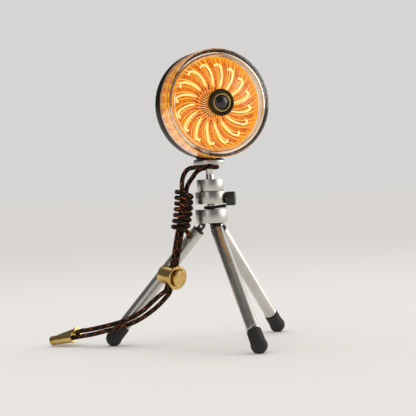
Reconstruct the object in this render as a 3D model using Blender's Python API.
"""Pocket lamp on a folding tripod: ball head, hub, three legs, round lamp head and lanyard."""
import math

import bmesh
import bpy
from mathutils import Matrix, Vector

# Fits and small edges used everywhere
CLEARANCE = 0.0003
OVERRUN = 0.0005
EDGE_CHAMFER = 0.0004
MERGE_DISTANCE = 0.000001

# Stance of the tripod
LEG_NAMES = ("front", "right", "left")
FIRST_LEG_AZIMUTH = -90.0
LEG_SPLAY = 40.74
PIVOT_RADIUS = 0.0080
FOOT_RADIUS = 0.0063
FOOT_FLAT = 0.0004

# Legs, measured from the pivot down each leg
EYE_RADIUS = 0.0025
TONGUE_THICKNESS = 0.0036
PIN_RADIUS = 0.0011
COLLAR_START = 0.0034
COLLAR_HEIGHT = 0.0012
COLLAR_RADIUS = 0.00485
PLUG_LENGTH = 0.0104
OUTER_TUBE_RADIUS = 0.00495
OUTER_TUBE_LENGTH = 0.0951
TUBE_WALL = 0.0006
BEAD_PROUD = 0.0004
BEAD_LENGTH = 0.0022
SLIDE_GAP = 0.0020
FOOT_GAP = 0.0010
FOOT_SLEEVE_RADIUS = 0.0056
FOOT_BORE_DEPTH = 0.0070
FOOT_CENTRE_DEPTH = 0.0052
LEG_REACH = (
    COLLAR_START + COLLAR_HEIGHT + CLEARANCE + OUTER_TUBE_LENGTH
    + FOOT_GAP + FOOT_BORE_DEPTH + FOOT_CENTRE_DEPTH
)
FOOT_RIM = 0.0005
FOOT_SHOULDER_ANGLE = 24.0

# Hub shell and the yoke that holds the pivots
HUB_DROP = 0.0022
HUB_RADIUS = 0.0123
HUB_HEIGHT = 0.0106
HUB_RECESS_RADIUS = 0.0101
HUB_RECESS_DEPTH = 0.0058
YOKE_THICKNESS = 0.0043
LUG_THICKNESS = 0.0016
HUB_SCREW_RADIUS = 0.0014
HUB_SCREW_HEAD_RADIUS = 0.0026
HUB_SCREW_HEAD_HEIGHT = 0.0018
HUB_SCREW_GRIP = 0.0040

# Neck between hub and ball socket, with its elastic loop
NECK_GAP = 0.0043
NECK_BORE_RADIUS = 0.0027
NECK_RADIUS = 0.0031
NECK_SPIGOT = 0.0016
BAND_RADIUS = 0.0012
BAND_TIP_RADIUS = 0.0020
BAND_TIP_REACH = 0.0086
BAND_RISE = 0.0008
BAND_AZIMUTH = -22.0
BAND_SPACING = 0.0019
BAND_HUG_STEPS = 6

# Ball head
SOCKET_RADIUS = 0.0119
SOCKET_HEIGHT = 0.0094
BALL_HEIGHT = 0.0111
BALL_RADIUS = 0.0068
SEAT_WALL = 0.0015
SEAT_LATITUDES = (-78.0, -42.0)
CAP_RADIUS = 0.0103
CAP_HEIGHT = 0.0094
CAP_SKIRT_DEPTH = 0.0011
CAP_LIP_RISE = 0.0030
CAP_MOUTH_RADIUS = 0.0079
STEM_RADIUS = 0.0030
STEM_HEAD_RADIUS = 0.0036
STEM_HEAD_HEIGHT = 0.0008

# Lock knob of the ball head
LOCK_AZIMUTH = -30.0
LOCK_HEIGHT = 0.0036
LOCK_HOLE_RADIUS = 0.0020
LOCK_PAD_LENGTH = 0.0023
KNOB_GAP = 0.0005
KNOB_RADIUS = 0.0059
KNOB_LENGTH = 0.0069
KNOB_LOBES = 6
KNOB_STEPS_PER_LOBE = 5
KNOB_LOBE_DEPTH = 0.0006
KNOB_HOLE_DEPTH = 0.0031
KNOB_ROUND = 0.0012

# Platform, its pad and the screw that holds the lamp
PLATFORM_RISE = 0.0200
PLATFORM_RADIUS = 0.0124
PLATFORM_THICKNESS = 0.0027
PAD_RADIUS = 0.0120
PAD_THICKNESS = 0.0005
STUD_SHANK_RADIUS = 0.0016
STUD_SHANK_DEPTH = 0.0050
STUD_RADIUS = 0.0031
STUD_LENGTH = 0.0063
STUD_TIP = 0.0008

# Lamp housing, in depths along the lamp's own axis, front positive
LAMP_RADIUS = 0.0418
LAMP_FOOT_PROUD = 0.0001
LAMP_FOOT_HALF_WIDTH = 0.0090
LAMP_FOOT_REAR = -0.0050
LAMP_FOOT_FRONT = 0.0066
HOUSING_REAR = -0.0055
HOUSING_FRONT = 0.0084
HOUSING_WALL = 0.0022
HOUSING_BACK_WALL = 0.0020
HOUSING_REAR_ROUND = 0.0040
LEDGE_WIDTH = 0.0022
LEDGE_RADIUS = LAMP_RADIUS - HOUSING_WALL - LEDGE_WIDTH
SEAL_INNER_LIP = 0.0006
SEAL_OUTER_LIP = 0.0009
SEAL_DEPTH = 0.0014
NUT_RADIUS = 0.0040
NUT_HEIGHT = 0.0053
NUT_BOSS_HALF_WIDTH = 0.0075
NUT_BOSS_ROOF = 0.0004
PORT_MARGIN = 0.0036
HOUSING_PORT_RADIUS = LAMP_RADIUS - NUT_HEIGHT - NUT_BOSS_ROOF - PORT_MARGIN
COVER_LAP = 0.0021
COVER_FLANGE_RADIUS = HOUSING_PORT_RADIUS + COVER_LAP
COVER_PLUG_DEPTH = 0.0026
COVER_THICKNESS = 0.0016
COVER_RIM_WIDTH = 0.0085
COVER_DISH_RADIUS = HOUSING_PORT_RADIUS - COVER_RIM_WIDTH
COVER_DISH_DEPTH = 0.0005
BATTERY_MARGIN = 0.0065
BATTERY_RADIUS = HOUSING_PORT_RADIUS - BATTERY_MARGIN
BATTERY_DEPTH = 0.0057
BOARD_MARGIN = 0.0022
BOARD_RADIUS = LEDGE_RADIUS - BOARD_MARGIN
BOARD_THICKNESS = 0.0015

# Glass cup
GLASS_WALL = 0.0036
GLASS_FRONT_WALL = 0.0032
GLASS_DEPTH = 0.0197
GLASS_ROUND = 0.0050
GLASS_INNER_ROUND = 0.0018
GLASS_HOLE_RADIUS = 0.0068

# Fluted reflector and the ring of hooked light filaments
FLUTE_COUNT = 16
REFLECTOR_LAND = 0.0031
REFLECTOR_RISE = 0.0090
REFLECTOR_RECESS_DEPTH = 0.0015
REFLECTOR_RECESS_INNER = 0.0095
REFLECTOR_RIM_WIDTH = 0.0028
REFLECTOR_RECESS_OUTER = LEDGE_RADIUS - REFLECTOR_RIM_WIDTH
FLUTE_DEPTH = 0.0022
REFLECTOR_SHARES = (
    (0.000, 0.00, 0.00),
    (0.097, 0.11, 0.45),
    (0.233, 0.17, 0.82),
    (0.500, 0.24, 1.00),
    (0.725, 0.39, 0.82),
    (0.883, 0.67, 0.36),
    (1.000, 1.00, 0.00),
)
FILAMENT_RING_INNER = 0.0126
FILAMENT_RING_OUTER = 0.0144
FILAMENT_RING_THICKNESS = 0.0016
FLUTES_START_GAP = 0.0004
HOOK_MARGIN = 0.0064
HOOK_REACH = LEDGE_RADIUS - HOOK_MARGIN
HOOK_RISE = 0.0066
HOOK_HALF_THICKNESS = 0.0006
HOOK_TURN = 12.0
HOOK_SHARES = (
    (-0.05, 0.00, 0.11),
    (0.16, 0.03, 0.38),
    (0.40, 0.16, 0.72),
    (0.64, 0.41, 0.94),
    (0.88, 0.77, 1.00),
    (1.00, 1.15, 0.98),
    (0.95, 1.45, 0.93),
    (0.83, 1.70, 0.90),
)

# Centre of the lamp's face with its push switch
POST_RADIUS = 0.0064
POST_WALL = 0.0018
CAP_DISC_RADIUS = 0.0103
CAP_DISC_THICKNESS = 0.0023
CAP_DISC_BORE = 0.0055
CAP_SPIGOT_LENGTH = 0.0039
BEZEL_OUTER = 0.0072
BEZEL_INNER = 0.0058
BEZEL_THICKNESS = 0.0009
BEZEL_SINK = 0.0009
BUTTON_PROUD = 0.0013
BUTTON_DOME = 0.0017
BUTTON_HEAD_LENGTH = 0.0041
BUTTON_ROD_RADIUS = 0.0016
BUTTON_TRAVEL = 0.0015
SWITCH_RADIUS = 0.0030
SWITCH_HEIGHT = 0.0033
SPRING_RADIUS = 0.0042
SPRING_WALL = 0.0008

# Lanyard
CORD_DIAMETER = 0.0037
CORD_SPACING = 0.0078
LOOP_SPACING = 0.0038
PAIR_HALF_SPACING = 0.0021
PAIR_YAW = 22.1
LOOP_ROUTE = (
    (-0.0245, -0.0026, 0.1195),
    (-0.0243, -0.0022, 0.1245),
    (-0.0232, -0.0014, 0.1295),
    (-0.0209, -0.0010, 0.1338),
    (-0.0178, -0.0011, 0.1366),
    (-0.0138, -0.0020, 0.1375),
    (-0.0088, -0.0039, 0.1376),
    (-0.0026, -0.0056, 0.1376),
    (0.0028, -0.0052, 0.1375),
    (0.0058, -0.0012, 0.1374),
    (0.0044, 0.0040, 0.1372),
    (-0.0002, 0.0060, 0.1370),
    (-0.0050, 0.0061, 0.1362),
    (-0.0093, 0.0054, 0.1336),
    (-0.0132, 0.0035, 0.1298),
    (-0.0170, 0.0014, 0.1260),
    (-0.0195, -0.0004, 0.1226),
    (-0.0206, -0.0010, 0.1188),
)
KNOT_ROUTE = (
    (-0.0229, -0.0016, 0.1140),
    (-0.0232, -0.0014, 0.1095),
    (-0.0238, -0.0012, 0.1040),
    (-0.0251, -0.0008, 0.0970),
    (-0.0266, -0.0004, 0.0900),
    (-0.0282, -0.0006, 0.0835),
    (-0.0300, -0.0016, 0.0770),
    (-0.0319, -0.0030, 0.0706),
)
REAR_STRAND_ROUTE = (
    (-0.0420, -0.0026, 0.0434),
    (-0.0456, 0.0006, 0.0402),
    (-0.0506, 0.0046, 0.0350),
    (-0.0556, 0.0093, 0.0294),
    (-0.0606, 0.0150, 0.0251),
    (-0.0658, 0.0214, 0.0217),
    (-0.0712, 0.0268, 0.0193),
    (-0.0784, 0.0347, 0.0168),
    (-0.0850, 0.0440, 0.0145),
    (-0.0897, 0.0535, 0.0127),
)
FRONT_STRAND_ROUTE = (
    (-0.0382, -0.0012, 0.0416),
    (-0.0420, 0.0006, 0.0368),
    (-0.0472, 0.0033, 0.0314),
    (-0.0532, 0.0072, 0.0262),
    (-0.0591, 0.0120, 0.0218),
    (-0.0659, 0.0177, 0.0181),
    (-0.0731, 0.0238, 0.0154),
    (-0.0814, 0.0314, 0.0130),
    (-0.0882, 0.0410, 0.0104),
    (-0.0932, 0.0497, 0.0088),
)
WRAP_TOP = 0.1178
WRAP_PITCH = 0.00445
WRAP_START = -0.31
WRAP_END = 6.27
WRAP_GAP = 0.0004
WRAP_SLOPE = 11.0
WRAP_LOOP_POINTS = 24
WRAP_TAIL_ROUTE = (
    (0.0018, 0.0000, -0.0009),
    (0.0034, 0.0001, -0.0023),
    (0.0045, 0.0003, -0.0043),
    (0.0050, 0.0005, -0.0066),
)

# Cord lock
LOCK_PLACE = (-0.0337, -0.0102, 0.0533)
LOCK_TILT = 100.2
LOCK_ROLL = 12.0
BARREL_RADIUS = 0.0074
BARREL_BORE = 0.0060
BARREL_LENGTH = 0.0166
BARREL_FLOOR = 0.0013
FLANGE_RADIUS = 0.0093
FLANGE_THICKNESS = 0.0018
FLANGE_RECESS_RADIUS = 0.0070
FLANGE_RECESS_DEPTH = 0.0014
SLOT_DEPTH = 0.0075
SLOT_CORD_GAP = 0.0004
PLUNGER_TRAVEL = 0.0022
PLUNGER_LENGTH = 0.0119
PLUNGER_HEAD_RADIUS = 0.0064
PLUNGER_HEAD_HEIGHT = 0.0018
PLUNGER_PROUD = 0.0011
LOCK_SPRING_WALL = 0.0008
LOCK_SPRING_RADIUS = 0.0048

# Brass ferrules on the two cord ends
FERRULE_LENGTH = 0.0220
FERRULE_RADIUS = 0.00375
FERRULE_RIM_RADIUS = 0.0042
FERRULE_RIM_LENGTH = 0.0018
FERRULE_BORE_DEPTH = 0.0040
FERRULE_TIP_ROUND = 0.0016
FRONT_FERRULE_MOUTH = (-0.0990, 0.0582, 0.0072)
FRONT_FERRULE_TIP = (-0.1133, 0.0750, 0.0041)
REAR_FERRULE_MOUTH = (-0.0934, 0.0645, 0.0106)
REAR_FERRULE_TIP = (-0.1050, 0.0822, 0.0042)

# Faces round each kind of piece
LAMP_STEPS = 36
FLUTED_STEPS = 64
HEAD_STEPS = 26
SMALL_STEPS = 18
LEG_STEPS = 14
PIN_STEPS = 10
ARC_STEPS = 4
BALL_ARC_STEPS = 6

SHARP_ANGLE = 35.0

# Colours and surfaces
SURFACES = {
    "satin_aluminium": ("b9b8b3", 0.32, 1.0, 0.0),
    "polished_steel": ("c9c7c2", 0.12, 1.0, 0.0),
    "black_plastic": ("16130f", 0.45, 0.0, 0.0),
    "black_rubber": ("0f0e0d", 0.75, 0.0, 0.0),
    "lamp_shell": ("1d150d", 0.35, 0.6, 0.0),
    "clear_glass": ("f4e3c8", 0.03, 0.0, 0.9),
    "amber_reflector": ("e07a12", 0.25, 0.0, 0.3),
    "filament": ("ffd27a", 0.35, 0.0, 0.0),
    "dark_bronze": ("33291a", 0.35, 0.9, 0.0),
    "brass": ("c79a3e", 0.22, 1.0, 0.0),
    "board": ("d8d4c8", 0.5, 0.0, 0.0),
    "nylon": ("e9e6dc", 0.45, 0.0, 0.0),
    "battery_wrap": ("2b4a6b", 0.5, 0.0, 0.0),
    "cord": ("2a1d14", 0.85, 0.0, 0.0),
}


def linear_colour(code):
    """Turn a six-digit colour code into linear red, green, blue and alpha."""
    channels = []
    for start in (0, 2, 4):
        value = int(code[start:start + 2], 16) / 255
        channels.append(value / 12.92 if value <= 0.04045 else ((value + 0.055) / 1.055) ** 2.4)
    return (*channels, 1.0)


def make_surface(name):
    """Make one named surface as a Principled material."""
    code, roughness, metallic, transmission = SURFACES[name]
    surface = bpy.data.materials.new(name)
    surface.use_nodes = True
    shader = surface.node_tree.nodes["Principled BSDF"]
    shader.inputs["Base Color"].default_value = linear_colour(code)
    shader.inputs["Roughness"].default_value = roughness
    shader.inputs["Metallic"].default_value = metallic
    shader.inputs["Transmission Weight"].default_value = transmission
    surface.diffuse_color = linear_colour(code)
    return surface


def as_mesh(shape):
    """Turn an edited shape into a smooth-shaded mesh with its faces outward."""
    bmesh.ops.recalc_face_normals(shape, faces=shape.faces)
    mesh = bpy.data.meshes.new("shape")
    shape.to_mesh(mesh)
    shape.free()
    mesh.shade_smooth()
    mesh.set_sharp_from_angle(angle=math.radians(SHARP_ANGLE))
    return mesh


def turned(outline, steps, closed=False):
    """Turn an outline of (radius, height) pairs about the Z axis."""
    shape = bmesh.new()
    corners = [shape.verts.new((radius, 0, height)) for radius, height in outline]
    followers = corners[1:] + corners[:1] if closed else corners[1:]
    edges = [shape.edges.new(pair) for pair in zip(corners, followers)]
    bmesh.ops.spin(shape, geom=corners + edges, cent=(0, 0, 0), axis=(0, 0, 1),
                   angle=math.tau, steps=steps, use_merge=True)
    bmesh.ops.remove_doubles(shape, verts=shape.verts, dist=MERGE_DISTANCE)
    return as_mesh(shape)


def extruded(outline, low, high):
    """Extrude a flat outline of (x, y) pairs from one height to another."""
    shape = bmesh.new()
    face = shape.faces.new([shape.verts.new((x, y, low)) for x, y in outline])
    grown = bmesh.ops.extrude_face_region(shape, geom=[face])
    moved = [item for item in grown["geom"] if isinstance(item, bmesh.types.BMVert)]
    bmesh.ops.translate(shape, verts=moved, vec=(0, 0, high - low))
    return as_mesh(shape)


def lofted(rings, closed=False):
    """Bridge rings of as many points into one skin, closed into a loop or capped at both ends."""
    shape = bmesh.new()
    loops = [[shape.verts.new(point) for point in ring] for ring in rings]
    followers = loops[1:] + loops[:1] if closed else loops[1:]
    for loop, follower in zip(loops, followers):
        for index, corner in enumerate(loop):
            shape.faces.new((loop[index - 1], corner, follower[index], follower[index - 1]))
    if not closed:
        bmesh.ops.holes_fill(shape, edges=shape.edges)
    return as_mesh(shape)


def box(low, high):
    """Make a box between two corners."""
    low, high = Vector(low), Vector(high)
    outline = ((low.x, low.y), (high.x, low.y), (high.x, high.y), (low.x, high.y))
    return extruded(outline, low.z, high.z)


def cylinder(radius, low, high, steps):
    """Make a plain cylinder along Z."""
    return turned(((0, low), (radius, low), (radius, high), (0, high)), steps)


def moved(mesh, matrix):
    """Move a mesh in place and hand it on."""
    mesh.transform(matrix)
    return mesh


def upright(mesh):
    """Stand a flat outline up, so that its own Y points up."""
    return moved(mesh, Matrix.Rotation(math.radians(90), 4, "X"))


def arc(centre, radius, start, end, steps):
    """List points on an arc of a turned outline, with angles in degrees."""
    points = []
    for step in range(steps + 1):
        angle = math.radians(start + (end - start) * step / steps)
        points.append((centre[0] + radius * math.cos(angle), centre[1] + radius * math.sin(angle)))
    return points


def combined(base, joins=(), cuts=()):
    """Join and cut shapes with exact Booleans and return the one mesh that is left."""
    host = bpy.data.objects.new("host", base)
    bpy.context.scene.collection.objects.link(host)
    helpers = []
    for operation, meshes in (("UNION", joins), ("DIFFERENCE", cuts)):
        for mesh in meshes:
            helper = bpy.data.objects.new("helper", mesh)
            bpy.context.scene.collection.objects.link(helper)
            helpers.append(helper)
            step = host.modifiers.new(operation, "BOOLEAN")
            step.operation = operation
            step.solver = "EXACT"
            step.object = helper
    graph = bpy.context.evaluated_depsgraph_get()
    result = bpy.data.meshes.new_from_object(host.evaluated_get(graph))
    for item in [host, *helpers]:
        bpy.data.objects.remove(item, do_unlink=True)
    result.shade_smooth()
    result.set_sharp_from_angle(angle=math.radians(SHARP_ANGLE))
    return result


def smooth_route(points, spacing, cyclic=False):
    """Read evenly spaced points from a smooth curve through the given ones."""
    knots = [Vector(point) for point in points]
    if cyclic:
        knots = [knots[-1], *knots, knots[0], knots[1]]
    else:
        knots = [2 * knots[0] - knots[1], *knots, 2 * knots[-1] - knots[-2]]
    dense = []
    for before, start, end, after in zip(knots, knots[1:], knots[2:], knots[3:]):
        pulls = (end - before) / 2, (after - start) / 2
        for step in range(20):
            t = step / 20
            lead = (1 + 2 * t) * (1 - t) ** 2 * start + t * (1 - t) ** 2 * pulls[0]
            dense.append(lead + t * t * (3 - 2 * t) * end + t * t * (t - 1) * pulls[1])
    dense.append(knots[-2])
    lengths = [0]
    for start, end in zip(dense, dense[1:]):
        lengths.append(lengths[-1] + (end - start).length)
    count = max(2, round(lengths[-1] / spacing))
    places = []
    index = 0
    for step in range(count if cyclic else count + 1):
        wanted = lengths[-1] * step / count
        while index < len(dense) - 2 and lengths[index + 1] < wanted:
            index += 1
        share = (wanted - lengths[index]) / (lengths[index + 1] - lengths[index])
        places.append(dense[index].lerp(dense[index + 1], share))
    return places


def tube(points, radius, resolution, cyclic=False):
    """Make a cord as a curve with a round section and filled ends."""
    curve = bpy.data.curves.new("cord", "CURVE")
    curve.dimensions = "3D"
    curve.bevel_depth = radius
    curve.bevel_resolution = resolution
    curve.use_fill_caps = not cyclic
    spline = curve.splines.new("POLY")
    spline.points.add(len(points) - 1)
    for target, point in zip(spline.points, points):
        target.co = (*point, 1)
    spline.use_cyclic_u = cyclic
    spline.use_smooth = True
    return curve


def make_empty(name, parent=None, location=(0, 0, 0), rotation=(0, 0, 0)):
    """Make a frame that pieces are placed in."""
    frame = bpy.data.objects.new(name, None)
    bpy.context.scene.collection.objects.link(frame)
    frame.empty_display_size = CORD_DIAMETER
    frame.parent = parent
    frame.location = location
    frame.rotation_euler = rotation
    return frame


def place(name, data, surface, parent, location=(0, 0, 0), rotation=(0, 0, 0)):
    """Put a piece in its frame with its surface."""
    piece = bpy.data.objects.new(name, data)
    bpy.context.scene.collection.objects.link(piece)
    if not data.materials:
        data.materials.append(surfaces[surface])
    piece.parent = parent
    piece.location = location
    piece.rotation_euler = rotation
    return piece


for old in list(bpy.data.objects):
    bpy.data.objects.remove(old, do_unlink=True)
surfaces = {name: make_surface(name) for name in SURFACES}

# Heights of the stack, from the floor up
splay = math.radians(LEG_SPLAY)
pivot_z = FOOT_RADIUS - FOOT_FLAT + LEG_REACH * math.cos(splay)
stance = PIVOT_RADIUS + LEG_REACH * math.sin(splay)
hub_bottom = pivot_z + HUB_DROP
hub_top = hub_bottom + HUB_HEIGHT
recess_top = hub_bottom + HUB_RECESS_DEPTH
yoke_top = recess_top - CLEARANCE
yoke_bottom = yoke_top - YOKE_THICKNESS
socket_bottom = hub_top + NECK_GAP
socket_top = socket_bottom + SOCKET_HEIGHT
ball_z = socket_bottom + BALL_HEIGHT
platform_bottom = ball_z + PLATFORM_RISE
platform_top = platform_bottom + PLATFORM_THICKNESS
pad_bottom = platform_top + CLEARANCE
pad_top = pad_bottom + PAD_THICKNESS
lamp_foot = pad_top + CLEARANCE
lamp_z = lamp_foot + LAMP_FOOT_PROUD + LAMP_RADIUS

# The hub stands behind the middle of the three feet's box by a quarter of the stance
hub_axis = make_empty("hub_axis", location=(0, stance / 4, 0))

# Hub shell: a turned cup, open below for the yoke
place("hub_shell", turned((
    (NECK_BORE_RADIUS, hub_top),
    (HUB_RADIUS - EDGE_CHAMFER, hub_top),
    (HUB_RADIUS, hub_top - EDGE_CHAMFER),
    (HUB_RADIUS, hub_bottom + EDGE_CHAMFER),
    (HUB_RADIUS - EDGE_CHAMFER, hub_bottom),
    (HUB_RECESS_RADIUS, hub_bottom),
    (HUB_RECESS_RADIUS, recess_top),
    (NECK_BORE_RADIUS, recess_top),
), HEAD_STEPS, closed=True), "satin_aluminium", hub_axis)

# Yoke: a disc in the recess with three forks hanging from it
fork_half = TONGUE_THICKNESS / 2 + CLEARANCE + LUG_THICKNESS
yoke_radius = HUB_RECESS_RADIUS - CLEARANCE
lug_outer = math.sqrt(yoke_radius ** 2 - fork_half ** 2)
lug_outline = arc((PIVOT_RADIUS, pivot_z), EYE_RADIUS, 180, 360, BALL_ARC_STEPS) + [
    (lug_outer, hub_bottom - CLEARANCE),
    (lug_outer, yoke_bottom + OVERRUN),
    (PIVOT_RADIUS - EYE_RADIUS, yoke_bottom + OVERRUN),
]
pin_hole = PIN_RADIUS + CLEARANCE
screw_hole = HUB_SCREW_RADIUS + CLEARANCE
lugs = []
pin_cuts = []
azimuths = [math.radians(FIRST_LEG_AZIMUTH + 360 * leg / len(LEG_NAMES)) for leg in range(len(LEG_NAMES))]
for azimuth in azimuths:
    swing = Matrix.Rotation(azimuth, 4, "Z")
    for side in (-1, 1):
        reach = sorted((side * fork_half, side * (fork_half - LUG_THICKNESS)))
        lugs.append(moved(upright(extruded(lug_outline, *reach)), swing))
    across = cylinder(pin_hole, -fork_half - OVERRUN, fork_half + OVERRUN, PIN_STEPS)
    centre = Matrix.Translation((PIVOT_RADIUS, 0, pivot_z))
    pin_cuts.append(moved(upright(across), swing @ centre))
yoke_disc = turned((
    (screw_hole, yoke_top),
    (yoke_radius, yoke_top),
    (yoke_radius, yoke_bottom),
    (screw_hole, yoke_bottom),
), HEAD_STEPS, closed=True)
place("leg_yoke", combined(yoke_disc, lugs, pin_cuts), "black_plastic", hub_axis)

# Screw that draws the yoke and the neck together
head_top = yoke_bottom - CLEARANCE
grip_top = recess_top + HUB_SCREW_GRIP
place("hub_screw", turned((
    (0, head_top - HUB_SCREW_HEAD_HEIGHT),
    (HUB_SCREW_HEAD_RADIUS - EDGE_CHAMFER, head_top - HUB_SCREW_HEAD_HEIGHT),
    (HUB_SCREW_HEAD_RADIUS, head_top - HUB_SCREW_HEAD_HEIGHT + EDGE_CHAMFER),
    (HUB_SCREW_HEAD_RADIUS, head_top),
    (HUB_SCREW_RADIUS, head_top),
    (HUB_SCREW_RADIUS, grip_top - CLEARANCE),
    (0, grip_top - CLEARANCE),
), PIN_STEPS), "polished_steel", hub_axis)

# Neck post between hub and socket
spigot_radius = NECK_BORE_RADIUS - CLEARANCE
place("neck_post", turned((
    (0, grip_top),
    (screw_hole, grip_top),
    (screw_hole, recess_top),
    (spigot_radius, recess_top),
    (spigot_radius, hub_top + CLEARANCE),
    (NECK_RADIUS, hub_top + CLEARANCE),
    (NECK_RADIUS, socket_bottom - CLEARANCE),
    (spigot_radius, socket_bottom - CLEARANCE),
    (spigot_radius, socket_bottom + NECK_SPIGOT),
    (0, socket_bottom + NECK_SPIGOT),
), LEG_STEPS), "polished_steel", hub_axis)

# Elastic loop round the neck, drawn out to the right like a belt over two wheels
band_hug = NECK_RADIUS + CLEARANCE + BAND_RADIUS
band_low = hub_top + CLEARANCE + BAND_RADIUS
band_high = band_low + BAND_RISE
lean = math.degrees(math.acos((band_hug - BAND_TIP_RADIUS) / BAND_TIP_REACH))
band_hugging = arc((0, 0), band_hug, lean, 360 - lean, BAND_HUG_STEPS)
band_tip = arc((BAND_TIP_REACH, 0), BAND_TIP_RADIUS, -lean, lean, ARC_STEPS)
band_route = [(x, y, band_low) for x, y in band_hugging] + [(x, y, band_high) for x, y in band_tip]
band_points = smooth_route(band_route, BAND_SPACING, cyclic=True)
place("neck_band", tube(band_points, BAND_RADIUS, 1, cyclic=True), "black_rubber", hub_axis,
      rotation=(0, 0, math.radians(BAND_AZIMUTH)))

# Ball socket with its cross hole for the lock screw
seat_inner = BALL_RADIUS + CLEARANCE
seat_outer = seat_inner + SEAT_WALL
cavity = seat_outer + CLEARANCE
ball_centre = make_empty("ball_centre", hub_axis, (0, 0, ball_z))
low = socket_bottom - ball_z
high = socket_top - ball_z
cavity_start = math.degrees(math.asin(high / cavity))
cavity_end = -math.degrees(math.acos(NECK_BORE_RADIUS / cavity))
socket_body = turned([
    (NECK_BORE_RADIUS, low),
    (SOCKET_RADIUS - EDGE_CHAMFER, low),
    (SOCKET_RADIUS, low + EDGE_CHAMFER),
    (SOCKET_RADIUS, high - EDGE_CHAMFER),
    (SOCKET_RADIUS - EDGE_CHAMFER, high),
    *arc((0, 0), cavity, cavity_start, cavity_end, BALL_ARC_STEPS),
], HEAD_STEPS, closed=True)
lock_level = socket_bottom + LOCK_HEIGHT - ball_z
across = Matrix.Rotation(math.radians(LOCK_AZIMUTH), 4, "Z") @ Matrix.Rotation(math.radians(90), 4, "Y")
lock_line = Matrix.Translation((0, 0, lock_level)) @ across
lock_hole = cylinder(LOCK_HOLE_RADIUS, NECK_BORE_RADIUS, SOCKET_RADIUS + OVERRUN, PIN_STEPS)
lock_cut = moved(lock_hole, lock_line)
place("socket_housing", combined(socket_body, cuts=[lock_cut]), "satin_aluminium", ball_centre)

# Cap ring screwed on the socket, with the ball's mouth
cap_low = high + CLEARANCE
cap_high = cap_low + CAP_HEIGHT
skirt_low = cap_low - CAP_SKIRT_DEPTH
skirt_radius = math.sqrt(cavity ** 2 - skirt_low ** 2) - CLEARANCE
lip_angle = math.degrees(math.asin(CAP_LIP_RISE / seat_inner))
place("cap_ring", turned([
    (seat_inner, skirt_low),
    (skirt_radius, skirt_low),
    (skirt_radius, cap_low),
    (CAP_RADIUS - EDGE_CHAMFER, cap_low),
    (CAP_RADIUS, cap_low + EDGE_CHAMFER),
    (CAP_RADIUS, cap_high - EDGE_CHAMFER),
    (CAP_RADIUS - EDGE_CHAMFER, cap_high),
    (CAP_MOUTH_RADIUS, cap_high),
    *arc((0, 0), seat_inner, lip_angle, 0, ARC_STEPS - 1),
], HEAD_STEPS, closed=True), "satin_aluminium", ball_centre)

# Seat cup under the ball
place("ball_seat", turned(
    arc((0, 0), seat_outer, SEAT_LATITUDES[0], SEAT_LATITUDES[1], ARC_STEPS)
    + arc((0, 0), seat_inner, SEAT_LATITUDES[1], SEAT_LATITUDES[0], ARC_STEPS),
    SMALL_STEPS, closed=True), "nylon", ball_centre)

# Ball and stem in one, bored for the stud
stem_top = PLATFORM_RISE - CLEARANCE
shank_hole = STUD_SHANK_RADIUS + CLEARANCE
ball_top_angle = math.degrees(math.acos(STEM_RADIUS / BALL_RADIUS))
place("ball_stem", turned([
    (0, stem_top - STUD_SHANK_DEPTH),
    (shank_hole, stem_top - STUD_SHANK_DEPTH),
    (shank_hole, stem_top),
    (STEM_HEAD_RADIUS, stem_top),
    (STEM_HEAD_RADIUS, stem_top - STEM_HEAD_HEIGHT),
    (STEM_RADIUS, stem_top - 2 * STEM_HEAD_HEIGHT),
    *arc((0, 0), BALL_RADIUS, ball_top_angle, -90, BALL_ARC_STEPS + 1),
], SMALL_STEPS), "polished_steel", ball_centre)

# Lock screw: pressure pad, threaded shank and lobed knob on one cross line
lock_axis = make_empty("lock_axis", hub_axis, (0, 0, socket_bottom + LOCK_HEIGHT),
                       (0, math.radians(90), math.radians(LOCK_AZIMUTH)))
pad_radius = LOCK_HOLE_RADIUS - CLEARANCE
pad_start = math.sqrt(seat_outer ** 2 - (lock_level + pad_radius) ** 2) + CLEARANCE
pad_end = pad_start + LOCK_PAD_LENGTH
knob_start = SOCKET_RADIUS + KNOB_GAP
knob_end = knob_start + KNOB_LENGTH
knob_floor = knob_start + KNOB_HOLE_DEPTH
place("lock_pad", cylinder(pad_radius, pad_start, pad_end, PIN_STEPS), "nylon", lock_axis)
place("lock_screw", cylinder(pad_radius, pad_end + CLEARANCE, knob_floor - CLEARANCE, PIN_STEPS),
      "polished_steel", lock_axis)


def lobed_ring(radius, height):
    """One ring of the knob, with lobes that fade as the ring shrinks."""
    steps = KNOB_LOBES * KNOB_STEPS_PER_LOBE
    depth = KNOB_LOBE_DEPTH * radius / KNOB_RADIUS
    ring = []
    for step in range(steps):
        angle = math.tau * step / steps
        reach = radius - depth * (1 - math.cos(KNOB_LOBES * angle)) / 2
        ring.append((reach * math.cos(angle), reach * math.sin(angle), height))
    return ring


knob_body = lofted((
    lobed_ring(KNOB_RADIUS - KNOB_ROUND / 2, knob_start),
    lobed_ring(KNOB_RADIUS, knob_start + KNOB_ROUND / 2),
    lobed_ring(KNOB_RADIUS, knob_end - KNOB_ROUND),
    lobed_ring(KNOB_RADIUS - KNOB_ROUND / 3, knob_end - KNOB_ROUND / 3),
    lobed_ring(KNOB_RADIUS - KNOB_ROUND, knob_end),
))
knob_hole = cylinder(LOCK_HOLE_RADIUS, knob_start - OVERRUN, knob_floor, PIN_STEPS)
place("lock_knob", combined(knob_body, cuts=[knob_hole]), "black_plastic", lock_axis)

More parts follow.
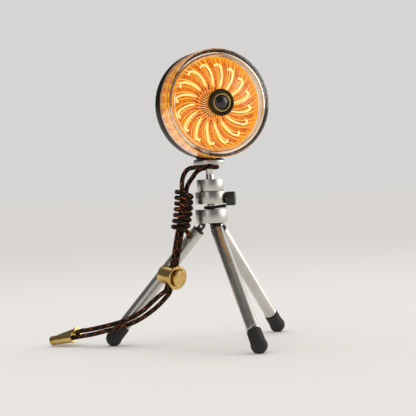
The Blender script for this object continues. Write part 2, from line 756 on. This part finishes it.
# Platform, rubber pad and camera stud
place("platform", turned((
    (shank_hole, platform_bottom),
    (PLATFORM_RADIUS - EDGE_CHAMFER, platform_bottom),
    (PLATFORM_RADIUS, platform_bottom + EDGE_CHAMFER),
    (PLATFORM_RADIUS, platform_top - EDGE_CHAMFER),
    (PLATFORM_RADIUS - EDGE_CHAMFER, platform_top),
    (shank_hole, platform_top),
), HEAD_STEPS, closed=True), "satin_aluminium", hub_axis)
stud_hole = STUD_RADIUS + CLEARANCE
place("platform_pad", turned((
    (stud_hole, pad_bottom),
    (PAD_RADIUS, pad_bottom),
    (PAD_RADIUS, pad_top),
    (stud_hole, pad_top),
), HEAD_STEPS, closed=True), "black_rubber", hub_axis)
stud_low = ball_z + stem_top - STUD_SHANK_DEPTH + CLEARANCE
stud_high = pad_bottom + STUD_LENGTH
place("camera_stud", turned((
    (0, stud_low),
    (STUD_SHANK_RADIUS, stud_low),
    (STUD_SHANK_RADIUS, pad_bottom),
    (STUD_RADIUS, pad_bottom),
    (STUD_RADIUS, stud_high - STUD_TIP),
    (STUD_RADIUS - STUD_TIP, stud_high),
    (0, stud_high),
), LEG_STEPS), "polished_steel", hub_axis)

# Legs: knuckle, pin, two tubes and foot, with the pivot as origin and the leg along -Z
collar_end = COLLAR_START + COLLAR_HEIGHT
inner_radius = OUTER_TUBE_RADIUS - TUBE_WALL - CLEARANCE
plug_end = collar_end + PLUG_LENGTH
knuckle_body = turned((
    (0, -COLLAR_START),
    (COLLAR_RADIUS - EDGE_CHAMFER, -COLLAR_START),
    (COLLAR_RADIUS, -COLLAR_START - EDGE_CHAMFER),
    (COLLAR_RADIUS, -collar_end),
    (inner_radius, -collar_end),
    (inner_radius, -plug_end),
    (0, -plug_end),
), LEG_STEPS)
tongue_outline = arc((0, 0), EYE_RADIUS, 0, 180, BALL_ARC_STEPS) + [
    (-EYE_RADIUS, -COLLAR_START - OVERRUN),
    (EYE_RADIUS, -COLLAR_START - OVERRUN),
]
tongue = upright(extruded(tongue_outline, -TONGUE_THICKNESS / 2, TONGUE_THICKNESS / 2))
tongue_hole = upright(cylinder(pin_hole, -fork_half, fork_half, PIN_STEPS))
knuckle = combined(knuckle_body, [tongue], [tongue_hole])
pin = upright(cylinder(PIN_RADIUS, -fork_half, fork_half, PIN_STEPS))

tube_top = collar_end + CLEARANCE
tube_end = tube_top + OUTER_TUBE_LENGTH
outer_tube = turned((
    (OUTER_TUBE_RADIUS - TUBE_WALL, -tube_top),
    (OUTER_TUBE_RADIUS, -tube_top),
    (OUTER_TUBE_RADIUS, -tube_end + BEAD_LENGTH),
    (OUTER_TUBE_RADIUS + BEAD_PROUD, -tube_end + BEAD_LENGTH - BEAD_PROUD),
    (OUTER_TUBE_RADIUS + BEAD_PROUD, -tube_end + BEAD_PROUD),
    (OUTER_TUBE_RADIUS, -tube_end),
    (OUTER_TUBE_RADIUS - TUBE_WALL, -tube_end),
), LEG_STEPS, closed=True)
sleeve_top = tube_end + FOOT_GAP
foot_floor = sleeve_top + FOOT_BORE_DEPTH
inner_top = plug_end + SLIDE_GAP
inner_tube = turned((
    (inner_radius - TUBE_WALL, -inner_top),
    (inner_radius, -inner_top),
    (inner_radius, -foot_floor + CLEARANCE),
    (inner_radius - TUBE_WALL, -foot_floor + CLEARANCE),
), LEG_STEPS, closed=True)


def make_foot():
    """Rubber foot: a sleeve on the inner tube that ends in a ball, cut flat where it stands."""
    bore = inner_radius + CLEARANCE
    outline = [
        (0, -foot_floor),
        (bore, -foot_floor),
        (bore, -sleeve_top),
        (FOOT_SLEEVE_RADIUS - FOOT_RIM, -sleeve_top),
        (FOOT_SLEEVE_RADIUS, -sleeve_top - FOOT_RIM),
    ]
    outline += arc((0, -LEG_REACH), FOOT_RADIUS, FOOT_SHOULDER_ANGLE, -90, BALL_ARC_STEPS)
    mesh = turned(outline, LEG_STEPS)
    shape = bmesh.new()
    shape.from_mesh(mesh)
    down = Vector((-math.sin(splay), 0, -math.cos(splay)))
    floor = Vector((0, 0, -LEG_REACH)) + down * (FOOT_RADIUS - FOOT_FLAT)
    everything = shape.verts[:] + shape.edges[:] + shape.faces[:]
    bmesh.ops.bisect_plane(shape, geom=everything, dist=MERGE_DISTANCE, plane_co=floor,
                           plane_no=down, clear_outer=True)
    bmesh.ops.holes_fill(shape, edges=shape.edges)
    return as_mesh(shape)


foot = make_foot()
for label, azimuth in zip(LEG_NAMES, azimuths):
    pivot_place = (PIVOT_RADIUS * math.cos(azimuth), PIVOT_RADIUS * math.sin(azimuth), pivot_z)
    pivot = make_empty(f"{label}_pivot", hub_axis, pivot_place, (0, -splay, azimuth))
    place(f"{label}_pivot_pin", pin, "polished_steel", pivot)
    place(f"{label}_knuckle", knuckle, "black_plastic", pivot)
    place(f"{label}_outer_tube", outer_tube, "satin_aluminium", pivot)
    place(f"{label}_inner_tube", inner_tube, "polished_steel", pivot)
    place(f"{label}_foot", foot, "black_rubber", pivot)

# Lamp: its own frame has Z to the front and Y up
lamp = make_empty("lamp_centre", hub_axis, (0, 0, lamp_z), (math.radians(90), 0, 0))

# Rear housing ring with the tripod foot and the nut boss
inner_wall = LAMP_RADIUS - HOUSING_WALL
back_wall = HOUSING_REAR + HOUSING_BACK_WALL
cover_seat = HOUSING_REAR - CLEARANCE
plug_front = cover_seat + COVER_PLUG_DEPTH
battery_rear = plug_front + CLEARANCE
battery_front = battery_rear + BATTERY_DEPTH
board_rear = battery_front + CLEARANCE
board_front = board_rear + BOARD_THICKNESS
groove_inner = LEDGE_RADIUS + SEAL_INNER_LIP
groove_outer = LAMP_RADIUS - SEAL_OUTER_LIP
groove_floor = HOUSING_FRONT - SEAL_DEPTH
round_centre = (LAMP_RADIUS - HOUSING_REAR_ROUND, HOUSING_REAR + HOUSING_REAR_ROUND)
housing_ring = turned([
    (LEDGE_RADIUS, HOUSING_FRONT),
    (groove_inner, HOUSING_FRONT),
    (groove_inner, groove_floor),
    (groove_outer, groove_floor),
    (groove_outer, HOUSING_FRONT),
    (LAMP_RADIUS, HOUSING_FRONT),
    *arc(round_centre, HOUSING_REAR_ROUND, 0, -90, ARC_STEPS),
    (HOUSING_PORT_RADIUS, HOUSING_REAR),
    (HOUSING_PORT_RADIUS, back_wall),
    (inner_wall, back_wall),
    (inner_wall, board_front),
    (LEDGE_RADIUS, board_front),
], LAMP_STEPS, closed=True)
foot_level = -(LAMP_RADIUS + LAMP_FOOT_PROUD)
foot_block = box(
    (-LAMP_FOOT_HALF_WIDTH, foot_level, LAMP_FOOT_REAR),
    (LAMP_FOOT_HALF_WIDTH, foot_level + HOUSING_WALL, LAMP_FOOT_FRONT),
)
nut_top = foot_level + CLEARANCE + NUT_HEIGHT
pocket_top = nut_top + CLEARANCE
nut_boss = box(
    (-NUT_BOSS_HALF_WIDTH, foot_level + HOUSING_WALL / 2, back_wall - HOUSING_BACK_WALL / 2),
    (NUT_BOSS_HALF_WIDTH, pocket_top + NUT_BOSS_ROOF, board_front),
)
pocket = upright(cylinder(NUT_RADIUS + CLEARANCE, -pocket_top, -foot_level + OVERRUN, LEG_STEPS))
place("rear_housing", combined(housing_ring, [foot_block, nut_boss], [pocket]), "lamp_shell", lamp)

# Threaded nut in the foot, on the stand's axis
nut_low = lamp_foot + CLEARANCE
place("tripod_nut", turned((
    (stud_hole, nut_low),
    (NUT_RADIUS, nut_low),
    (NUT_RADIUS, nut_low + NUT_HEIGHT),
    (stud_hole, nut_low + NUT_HEIGHT),
), LEG_STEPS, closed=True), "brass", hub_axis)

# Rear cover, battery, board and seal
cover_rear = cover_seat - COVER_THICKNESS
place("rear_cover", turned((
    (0, plug_front),
    (HOUSING_PORT_RADIUS - CLEARANCE, plug_front),
    (HOUSING_PORT_RADIUS - CLEARANCE, cover_seat),
    (COVER_FLANGE_RADIUS, cover_seat),
    (COVER_FLANGE_RADIUS, cover_seat - COVER_THICKNESS / 2),
    (COVER_FLANGE_RADIUS - COVER_THICKNESS / 2, cover_rear),
    (COVER_DISH_RADIUS, cover_rear),
    (COVER_DISH_RADIUS - COVER_DISH_DEPTH, cover_rear + COVER_DISH_DEPTH),
    (0, cover_rear + COVER_DISH_DEPTH),
), HEAD_STEPS), "lamp_shell", lamp)
place("battery", cylinder(BATTERY_RADIUS, battery_rear, battery_front, HEAD_STEPS), "battery_wrap", lamp)
place("led_board", cylinder(BOARD_RADIUS, board_rear, board_front, HEAD_STEPS), "board", lamp)
glass_rear = HOUSING_FRONT + CLEARANCE
place("seal_ring", turned((
    (groove_inner + CLEARANCE, groove_floor + CLEARANCE),
    (groove_outer - CLEARANCE, groove_floor + CLEARANCE),
    (groove_outer - CLEARANCE, HOUSING_FRONT),
    (groove_inner + CLEARANCE, HOUSING_FRONT),
), LAMP_STEPS, closed=True), "black_rubber", lamp)

# Clear cup over the front
glass_front = glass_rear + GLASS_DEPTH
glass_inner = LAMP_RADIUS - GLASS_WALL
glass_ceiling = glass_front - GLASS_FRONT_WALL
place("glass_cup", turned([
    (glass_inner, glass_rear),
    (LAMP_RADIUS, glass_rear),
    *arc((LAMP_RADIUS - GLASS_ROUND, glass_front - GLASS_ROUND), GLASS_ROUND, 0, 90, ARC_STEPS),
    (GLASS_HOLE_RADIUS, glass_front),
    (GLASS_HOLE_RADIUS, glass_ceiling),
    *arc((glass_inner - GLASS_INNER_ROUND, glass_ceiling - GLASS_INNER_ROUND), GLASS_INNER_ROUND, 90, 0, 2),
], LAMP_STEPS, closed=True), "clear_glass", lamp)

# Reflector: sixteen flutes that swirl outward, in line with the filaments
reflector_radius = LEDGE_RADIUS - CLEARANCE
reflector_rear = board_front + CLEARANCE
reflector_land = reflector_rear + REFLECTOR_LAND
reflector_hole = POST_RADIUS + CLEARANCE
flutes_start = FILAMENT_RING_OUTER + FLUTES_START_GAP


def swirl(radius):
    """Angle that flutes and filaments have turned by at a radius."""
    share = max(0, (radius - FILAMENT_RING_OUTER) / (HOOK_REACH - FILAMENT_RING_OUTER))
    return math.radians(HOOK_TURN) * share ** 2


def fluted_ring(radius, height, depth=0):
    """One ring of the reflector, with valleys on the filament lines."""
    ring = []
    for step in range(FLUTED_STEPS):
        angle = math.tau * step / FLUTED_STEPS
        wave = math.cos(FLUTE_COUNT * (angle - swirl(radius)))
        ring.append((radius * math.cos(angle), radius * math.sin(angle), height - depth * wave))
    return ring


recess_floor = reflector_rear + REFLECTOR_RECESS_DEPTH
reflector_rings = [
    fluted_ring(reflector_hole, reflector_land),
    fluted_ring(reflector_hole, reflector_rear),
    fluted_ring(REFLECTOR_RECESS_INNER, reflector_rear),
    fluted_ring(REFLECTOR_RECESS_INNER, recess_floor),
    fluted_ring(REFLECTOR_RECESS_OUTER, recess_floor),
    fluted_ring(REFLECTOR_RECESS_OUTER, reflector_rear),
    fluted_ring(reflector_radius, reflector_rear),
]
for radius_share, rise_share, flute_share in reversed(REFLECTOR_SHARES):
    reflector_rings.append(fluted_ring(
        flutes_start + (reflector_radius - flutes_start) * radius_share,
        reflector_land + REFLECTOR_RISE * rise_share,
        FLUTE_DEPTH * flute_share,
    ))
place("fluted_reflector", lofted(reflector_rings, closed=True), "amber_reflector", lamp)

# Filament ring: a low ring with sixteen arms that arch outward and hook round
filament_low = reflector_land + CLEARANCE
filament_ring = turned((
    (FILAMENT_RING_INNER, filament_low),
    (FILAMENT_RING_OUTER, filament_low),
    (FILAMENT_RING_OUTER, filament_low + FILAMENT_RING_THICKNESS),
    (FILAMENT_RING_INNER, filament_low + FILAMENT_RING_THICKNESS),
), FLUTE_COUNT * 2, closed=True)


def hook_arm(start):
    """One filament arm as a square bar along its arched and hooked line."""
    line = []
    for reach_share, turn_share, rise_share in HOOK_SHARES:
        radius = FILAMENT_RING_OUTER + (HOOK_REACH - FILAMENT_RING_OUTER) * reach_share
        angle = start + math.radians(HOOK_TURN) * turn_share
        height = filament_low + HOOK_RISE * rise_share
        line.append(Vector((radius * math.cos(angle), radius * math.sin(angle), height)))
    rings = []
    for index, point in enumerate(line):
        ahead = line[min(index + 1, len(line) - 1)] - line[max(index - 1, 0)]
        across = ahead.cross(Vector((0, 0, 1))).normalized() * HOOK_HALF_THICKNESS
        above = across.cross(ahead).normalized() * HOOK_HALF_THICKNESS
        rings.append([point + across, point + above, point - across, point - above])
    return lofted(rings)


arms = [hook_arm(math.tau * arm / FLUTE_COUNT) for arm in range(FLUTE_COUNT)]
place("filament_ring", combined(filament_ring, arms), "filament", lamp)

# Centre post, cap, bezel, push button, spring and switch
cap_seat = glass_front + CLEARANCE
cap_front = cap_seat + CAP_DISC_THICKNESS
spigot_end = cap_seat - CAP_SPIGOT_LENGTH
post_bore = POST_RADIUS - POST_WALL
post_rear = board_front + CLEARANCE
bezel_floor = cap_front - BEZEL_SINK
button_rear = cap_front + BUTTON_PROUD - BUTTON_DOME - BUTTON_HEAD_LENGTH
button_radius = CAP_DISC_BORE - CLEARANCE
switch_top = post_rear + SWITCH_HEIGHT
place("centre_post", turned((
    (post_bore, post_rear),
    (POST_RADIUS, post_rear),
    (POST_RADIUS, spigot_end - CLEARANCE),
    (post_bore, spigot_end - CLEARANCE),
), SMALL_STEPS, closed=True), "brass", lamp)
place("centre_cap", turned((
    (CAP_DISC_BORE, spigot_end),
    (GLASS_HOLE_RADIUS - CLEARANCE, spigot_end),
    (GLASS_HOLE_RADIUS - CLEARANCE, cap_seat),
    (CAP_DISC_RADIUS - EDGE_CHAMFER, cap_seat),
    (CAP_DISC_RADIUS, cap_seat + EDGE_CHAMFER),
    (CAP_DISC_RADIUS, cap_front - 2 * EDGE_CHAMFER),
    (CAP_DISC_RADIUS - 2 * EDGE_CHAMFER, cap_front),
    (BEZEL_OUTER + CLEARANCE, cap_front),
    (BEZEL_OUTER + CLEARANCE, bezel_floor),
    (CAP_DISC_BORE, bezel_floor),
), HEAD_STEPS, closed=True), "dark_bronze", lamp)
place("button_bezel", turned((
    (BEZEL_INNER, bezel_floor + CLEARANCE),
    (BEZEL_OUTER, bezel_floor + CLEARANCE),
    (BEZEL_OUTER, bezel_floor + CLEARANCE + BEZEL_THICKNESS),
    (BEZEL_INNER, bezel_floor + CLEARANCE + BEZEL_THICKNESS),
), SMALL_STEPS, closed=True), "brass", lamp)
dome_radius = (button_radius ** 2 + BUTTON_DOME ** 2) / (2 * BUTTON_DOME)
dome_centre = cap_front + BUTTON_PROUD - dome_radius
dome_edge = math.degrees(math.acos(button_radius / dome_radius))
place("push_button", turned([
    (0, switch_top + CLEARANCE + BUTTON_TRAVEL),
    (BUTTON_ROD_RADIUS, switch_top + CLEARANCE + BUTTON_TRAVEL),
    (BUTTON_ROD_RADIUS, button_rear),
    (button_radius, button_rear),
    *arc((0, dome_centre), dome_radius, dome_edge, 90, ARC_STEPS),
], SMALL_STEPS), "black_plastic", lamp)
place("button_spring", turned((
    (SPRING_RADIUS - SPRING_WALL, post_rear),
    (SPRING_RADIUS, post_rear),
    (SPRING_RADIUS, button_rear - CLEARANCE),
    (SPRING_RADIUS - SPRING_WALL, button_rear - CLEARANCE),
), PIN_STEPS, closed=True), "polished_steel", lamp)
place("switch_body", cylinder(SWITCH_RADIUS, post_rear, switch_top, PIN_STEPS), "black_plastic", lamp)

# Cord lock: its frame has Z along the plunger, out through the flange
cord_radius = CORD_DIAMETER / 2
lock_turn = (math.radians(LOCK_TILT), 0, math.radians(PAIR_YAW))
cord_lock = make_empty("cord_lock", hub_axis, LOCK_PLACE, lock_turn)
slot_turn = Matrix.Rotation(math.radians(-LOCK_ROLL), 4, "Z") @ Matrix.Translation((0, 0, -SLOT_DEPTH))


def slot_cut(stretch):
    """Cutter for the two cords, stretched along the plunger by its travel."""
    radius = cord_radius + SLOT_CORD_GAP
    half = PAIR_HALF_SPACING
    corners = ((half, 0, -90), (half, stretch, 0), (-half, stretch, 90), (-half, 0, 180))
    outline = []
    for x, y, start in corners:
        for point in arc((x, y), radius, start, start + 90, ARC_STEPS - 1):
            if not outline or (Vector(point) - Vector(outline[-1])).length > MERGE_DISTANCE:
                outline.append(point)
    if (Vector(outline[0]) - Vector(outline[-1])).length < MERGE_DISTANCE:
        outline.pop()
    reach = BARREL_RADIUS + OVERRUN
    return moved(upright(extruded(outline, -reach, reach)), slot_turn)


barrel_floor = BARREL_FLOOR - BARREL_LENGTH
plunger_end = PLUNGER_PROUD - PLUNGER_LENGTH
plunger_front = PLUNGER_PROUD + PLUNGER_HEAD_HEIGHT
plunger_radius = BARREL_BORE - CLEARANCE
barrel = turned((
    (0, -BARREL_LENGTH),
    (BARREL_RADIUS - 2 * EDGE_CHAMFER, -BARREL_LENGTH),
    (BARREL_RADIUS, -BARREL_LENGTH + 2 * EDGE_CHAMFER),
    (BARREL_RADIUS, -FLANGE_THICKNESS),
    (FLANGE_RADIUS - EDGE_CHAMFER, -FLANGE_THICKNESS),
    (FLANGE_RADIUS, -FLANGE_THICKNESS + EDGE_CHAMFER),
    (FLANGE_RADIUS, -EDGE_CHAMFER),
    (FLANGE_RADIUS - EDGE_CHAMFER, 0),
    (FLANGE_RECESS_RADIUS, 0),
    (FLANGE_RECESS_RADIUS, -FLANGE_RECESS_DEPTH),
    (BARREL_BORE, -FLANGE_RECESS_DEPTH),
    (BARREL_BORE, barrel_floor),
    (0, barrel_floor),
), SMALL_STEPS)
place("lock_barrel", combined(barrel, cuts=[slot_cut(0)]), "brass", cord_lock)
plunger = turned((
    (0, plunger_end),
    (plunger_radius, plunger_end),
    (plunger_radius, PLUNGER_PROUD),
    (PLUNGER_HEAD_RADIUS, PLUNGER_PROUD),
    (PLUNGER_HEAD_RADIUS, plunger_front - 2 * EDGE_CHAMFER),
    (PLUNGER_HEAD_RADIUS - 2 * EDGE_CHAMFER, plunger_front),
    (0, plunger_front),
), SMALL_STEPS)
place("lock_plunger", combined(plunger, cuts=[slot_cut(PLUNGER_TRAVEL)]), "brass", cord_lock)
place("lock_spring", turned((
    (LOCK_SPRING_RADIUS - LOCK_SPRING_WALL, barrel_floor + CLEARANCE),
    (LOCK_SPRING_RADIUS, barrel_floor + CLEARANCE),
    (LOCK_SPRING_RADIUS, plunger_end - CLEARANCE),
    (LOCK_SPRING_RADIUS - LOCK_SPRING_WALL, plunger_end - CLEARANCE),
), PIN_STEPS, closed=True), "polished_steel", cord_lock)


def make_ferrule(name, mouth, tip):
    """Put a ferrule from its mouth to its tip and return where its cord ends."""
    mouth = Vector(mouth)
    along = (Vector(tip) - mouth).normalized()
    bore = cord_radius + CLEARANCE
    shape = turned((
        (0, FERRULE_BORE_DEPTH),
        (bore, FERRULE_BORE_DEPTH),
        (bore, 0),
        (FERRULE_RIM_RADIUS - EDGE_CHAMFER, 0),
        (FERRULE_RIM_RADIUS, EDGE_CHAMFER),
        (FERRULE_RIM_RADIUS, FERRULE_RIM_LENGTH),
        (FERRULE_RADIUS, FERRULE_RIM_LENGTH + EDGE_CHAMFER),
        (FERRULE_RADIUS, FERRULE_LENGTH - FERRULE_TIP_ROUND),
        (FERRULE_RADIUS - FERRULE_TIP_ROUND / 3, FERRULE_LENGTH - FERRULE_TIP_ROUND / 3),
        (FERRULE_RADIUS - FERRULE_TIP_ROUND, FERRULE_LENGTH),
        (0, FERRULE_LENGTH),
    ), LEG_STEPS)
    place(name, shape, "brass", hub_axis, mouth, along.to_track_quat("Z", "Y").to_euler())
    return [mouth - along * CORD_DIAMETER, mouth + along * (FERRULE_BORE_DEPTH - CLEARANCE)]


front_end = make_ferrule("ferrule_front", FRONT_FERRULE_MOUTH, FRONT_FERRULE_TIP)
rear_end = make_ferrule("ferrule_rear", REAR_FERRULE_MOUTH, REAR_FERRULE_TIP)

# Both strands run side by side through the knot and the lock, then part to their ferrules
pair_across = Vector((math.cos(math.radians(PAIR_YAW)), math.sin(math.radians(PAIR_YAW)), 0))
pair_away = Vector((0, 0, 1)).cross(pair_across)
knot_line = [Vector(point) for point in KNOT_ROUTE]
lock_matrix = Matrix.Translation(LOCK_PLACE) @ Matrix.Rotation(lock_turn[2], 4, "Z") \
    @ Matrix.Rotation(lock_turn[0], 4, "X") @ slot_turn
lock_reach = BARREL_RADIUS + cord_radius


def strand(side, route, end):
    """Route of one strand, from inside the knot to its ferrule."""
    offset = side * PAIR_HALF_SPACING
    points = [point + pair_across * offset for point in knot_line]
    points += [lock_matrix @ Vector((offset, reach, 0)) for reach in (lock_reach, 0, -lock_reach)]
    return [*points, *(Vector(point) for point in route), *end]


rear_strand = strand(-1, REAR_STRAND_ROUTE, rear_end)
front_strand = strand(1, FRONT_STRAND_ROUTE, front_end)
rear_points = smooth_route(rear_strand, CORD_SPACING)
front_points = smooth_route(front_strand, CORD_SPACING)
place("strand_rear", tube(rear_points, cord_radius, 2), "cord", hub_axis)
place("strand_front", tube(front_points, cord_radius, 2), "cord", hub_axis)

# Loop round the stem, which meets both strands end to end inside the knot
loop_route = [Vector(point) for point in LOOP_ROUTE]
for strand_route, at_start in ((rear_strand, True), (front_strand, False)):
    upward = (strand_route[0] - strand_route[1]).normalized()
    leads = [strand_route[0] + upward * CLEARANCE, strand_route[0] + upward * cord_radius]
    loop_route = leads + loop_route if at_start else loop_route + leads[::-1]
loop_points = smooth_route(loop_route, LOOP_SPACING)
place("stem_loop", tube(loop_points, cord_radius, 2), "cord", hub_axis)

# Winding of the knot: one tube round both strands, with its turns aslant
wrap_radius = CORD_DIAMETER + WRAP_GAP
wrap_straight = 2 * PAIR_HALF_SPACING
wrap_length = 2 * wrap_straight + math.tau * wrap_radius
knot_dense = smooth_route(knot_line, cord_radius)


def knot_centre(height):
    """Centre of the pair at a height, carried on straight above its first point."""
    for start, end in zip(knot_dense, knot_dense[1:]):
        if end.z <= height:
            break
    return start.lerp(end, (height - start.z) / (end.z - start.z))


def wrap_point(turns):
    """Point of the winding after some turns, counted from the left over the front."""
    travel = (turns % 1) * wrap_length
    quarter = math.pi * wrap_radius / 2
    if travel < quarter:
        side, angle, slide = -1, math.pi + travel / wrap_radius, 0
    elif travel < quarter + wrap_straight:
        side, angle, slide = -1, math.pi * 1.5, travel - quarter
    elif travel < 3 * quarter + wrap_straight:
        side, angle, slide = 1, math.pi * 1.5 + (travel - quarter - wrap_straight) / wrap_radius, 0
    elif travel < 3 * quarter + 2 * wrap_straight:
        side, angle, slide = 1, math.pi / 2, 3 * quarter + wrap_straight - travel
    else:
        side, angle, slide = -1, math.pi / 2 + (travel - 3 * quarter - 2 * wrap_straight) / wrap_radius, 0
    across = side * PAIR_HALF_SPACING + slide + wrap_radius * math.cos(angle)
    away = wrap_radius * math.sin(angle)
    level = WRAP_TOP - WRAP_PITCH * turns
    point = knot_centre(level) + pair_across * across + pair_away * away
    point.z -= across * math.tan(math.radians(WRAP_SLOPE))
    return point


wrap_turns = WRAP_END - WRAP_START
wrap_count = round(wrap_turns * WRAP_LOOP_POINTS)
wrap_points = [wrap_point(WRAP_START + wrap_turns * step / wrap_count) for step in range(wrap_count + 1)]
wrap_end = wrap_points[-1]
for across, away, rise in WRAP_TAIL_ROUTE:
    wrap_points.append(wrap_end + pair_across * across + pair_away * away + Vector((0, 0, rise)))
place("knot_wrap", tube(wrap_points, cord_radius, 1), "cord", hub_axis)
least = min((first - second).length
            for index, first in enumerate(wrap_points)
            for second in wrap_points[index + WRAP_LOOP_POINTS // 2:])
print(f"knot winding: least gap to itself {least - CORD_DIAMETER:.5f} m")
